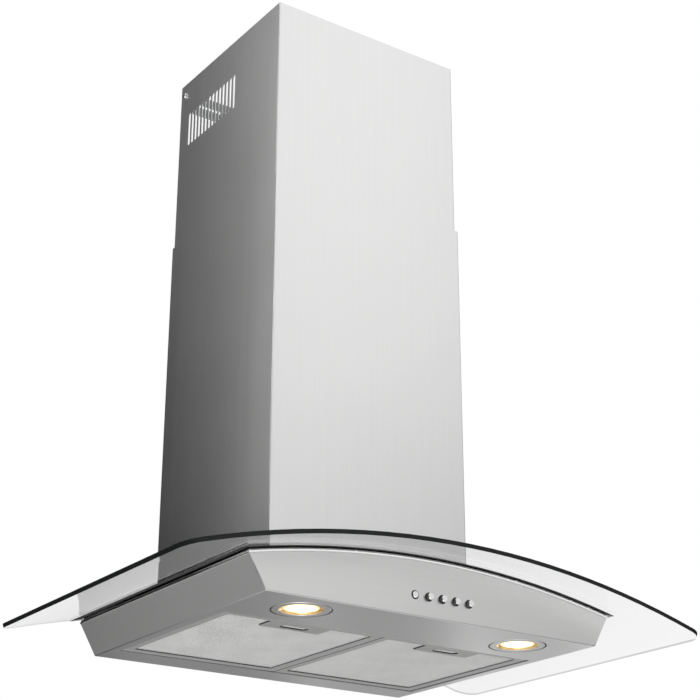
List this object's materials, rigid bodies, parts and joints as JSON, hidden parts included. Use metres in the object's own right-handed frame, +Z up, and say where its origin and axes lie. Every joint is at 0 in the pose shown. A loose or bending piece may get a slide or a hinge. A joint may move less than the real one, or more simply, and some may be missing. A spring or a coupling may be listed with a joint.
{
  "type": "wall chimney range hood",
  "caption": "Wall-mounted chimney range hood with a curved glass canopy, slim steel body, push buttons, lamps, mesh grease filters and a telescoping chimney cover.",
  "frame": {"origin": "midway between the two screw holes of the wall rail, on the wall plane", "axes": "+Z up, +Y into the wall, so the front with its buttons faces -Y; X along the wall"},
  "size_m": [0.7472, 0.4782, 0.877],
  "materials": {
    "brushed_steel": "vertical brushed grain, satin",
    "galvanised": "zinc-coated sheet, dull",
    "black_rubber": "matt black",
    "tinted_glass": "clear tempered glass, polished edge",
    "screw_steel": "bright zinc plating",
    "black_plastic": "fine moulded texture",
    "white_plastic": "smooth off-white moulding",
    "motor_cast": "pressed and painted end shells",
    "stator_iron": "stacked laminations",
    "lamp_trim": "satin",
    "lamp_glass": "frosted, lit from behind",
    "lamp_reflector": "bright dished reflector",
    "filter_aluminium": "satin anodised",
    "mesh_aluminium": "fine expanded diamond mesh",
    "latch_plastic": "grey moulding",
    "button_chrome": "satin chrome cap"
  },
  "bodies": {
    "hood": {"air_box": "galvanised", "canopy_shell": "brushed_steel", "capacitor": "white_plastic", "clamp_frame": "galvanised", "clamp_gasket": "black_rubber", "cover_feet": "galvanised", "damper_pin": "screw_steel", "duct_adapter": "black_plastic", "glass_border": "black_rubber", "glass_canopy": "tinted_glass", "glass_gasket": "black_rubber", "inner_screws": "screw_steel", "lamp_bezel_left": "lamp_trim", "lamp_bezel_right": "lamp_trim", "lamp_bulb_left": "lamp_reflector", "lamp_bulb_right": "lamp_reflector", "lamp_driver": "white_plastic", "lamp_housing_left": "galvanised", "lamp_housing_right": "galvanised", "lamp_lens_left": "lamp_glass", "lamp_lens_right": "lamp_glass", "lower_chimney_cover": "brushed_steel", "motor_bearings": "screw_steel", "motor_bracket": "galvanised", "motor_housing": "motor_cast", "motor_stator": "stator_iron", "scroll_casing_left": "black_plastic", "scroll_casing_right": "black_plastic", "supply_gland": "black_plastic", "switch_housing": "black_plastic", "terminal_box": "black_plastic", "terminal_lid": "black_plastic", "top_deck": "brushed_steel", "wall_bracket": "galvanised", "wall_pads": "black_rubber", "wall_rail": "galvanised"},
    "upper_cover": {"upper_chimney_cover": "brushed_steel", "chimney_screws": "screw_steel"},
    "blower": {"blower_wheel": "black_plastic", "motor_shaft": "screw_steel", "motor_rotor": "stator_iron"},
    "damper_front": {"damper_flap_front": "black_plastic"},
    "damper_rear": {"damper_flap_rear": "black_plastic"},
    "filter_left": {"filter_frame_left": "filter_aluminium", "filter_mesh_left": "mesh_aluminium", "latch_case_left": "latch_plastic", "latch_spring_left": "screw_steel"},
    "latch_left": {"latch_slider_left": "latch_plastic"},
    "filter_right": {"filter_frame_right": "filter_aluminium", "filter_mesh_right": "mesh_aluminium", "latch_case_right": "latch_plastic", "latch_spring_right": "screw_steel"},
    "latch_right": {"latch_slider_right": "latch_plastic"},
    "button_1": {"button_1": "button_chrome"},
    "button_2": {"button_2": "button_chrome"},
    "button_3": {"button_3": "button_chrome"},
    "button_4": {"button_4": "button_chrome"},
    "button_5": {"button_5": "button_chrome"}
  },
  "joints": [
    {"name": "upper_cover_slide", "type": "slide", "parent": "hood", "child": "upper_cover", "axis": [0, 0, 1], "range_m": [-0.245, 0]},
    {"name": "filter_left_hinge", "type": "hinge", "parent": "hood", "child": "filter_left", "pos_m": [-0.114, -0.056, -0.0285], "axis": [1, 0, 0], "range_deg": [0, 60]},
    {"name": "latch_left_slide", "type": "slide", "parent": "filter_left", "child": "latch_left", "axis": [0, 1, 0], "range_m": [0, 0.0045], "stiffness_N_per_m": 400, "springref_m": -0.002, "deforming": ["latch_spring_left"]},
    {"name": "filter_right_hinge", "type": "hinge", "parent": "hood", "child": "filter_right", "pos_m": [0.114, -0.056, -0.0285], "axis": [1, 0, 0], "range_deg": [0, 60]},
    {"name": "latch_right_slide", "type": "slide", "parent": "filter_right", "child": "latch_right", "axis": [0, 1, 0], "range_m": [0, 0.0045], "stiffness_N_per_m": 400, "springref_m": -0.002, "deforming": ["latch_spring_right"]},
    {"name": "button_1_push", "type": "slide", "parent": "hood", "child": "button_1", "axis": [0, 1, 0], "range_m": [-0.0038, 0]},
    {"name": "button_2_push", "type": "slide", "parent": "hood", "child": "button_2", "axis": [0, 1, 0], "range_m": [0, 0.0038], "stiffness_N_per_m": 300, "springref_m": -0.002},
    {"name": "button_3_push", "type": "slide", "parent": "hood", "child": "button_3", "axis": [0, 1, 0], "range_m": [0, 0.0038], "stiffness_N_per_m": 300, "springref_m": -0.002},
    {"name": "button_4_push", "type": "slide", "parent": "hood", "child": "button_4", "axis": [0, 1, 0], "range_m": [0, 0.0038], "stiffness_N_per_m": 300, "springref_m": -0.002},
    {"name": "button_5_push", "type": "slide", "parent": "hood", "child": "button_5", "axis": [0, 1, 0], "range_m": [0, 0.0038], "stiffness_N_per_m": 300, "springref_m": -0.002},
    {"name": "blower_spin", "type": "hinge", "parent": "hood", "child": "blower", "pos_m": [0, -0.165, 0.148], "axis": [1, 0, 0], "continuous": true},
    {"name": "damper_front_hinge", "type": "hinge", "parent": "hood", "child": "damper_front", "pos_m": [0, -0.121, 0.3], "axis": [-1, 0, 0], "range_deg": [0, 78]},
    {"name": "damper_rear_hinge", "type": "hinge", "parent": "hood", "child": "damper_rear", "pos_m": [0, -0.121, 0.3], "axis": [1, 0, 0], "range_deg": [0, 78]}
  ]
}
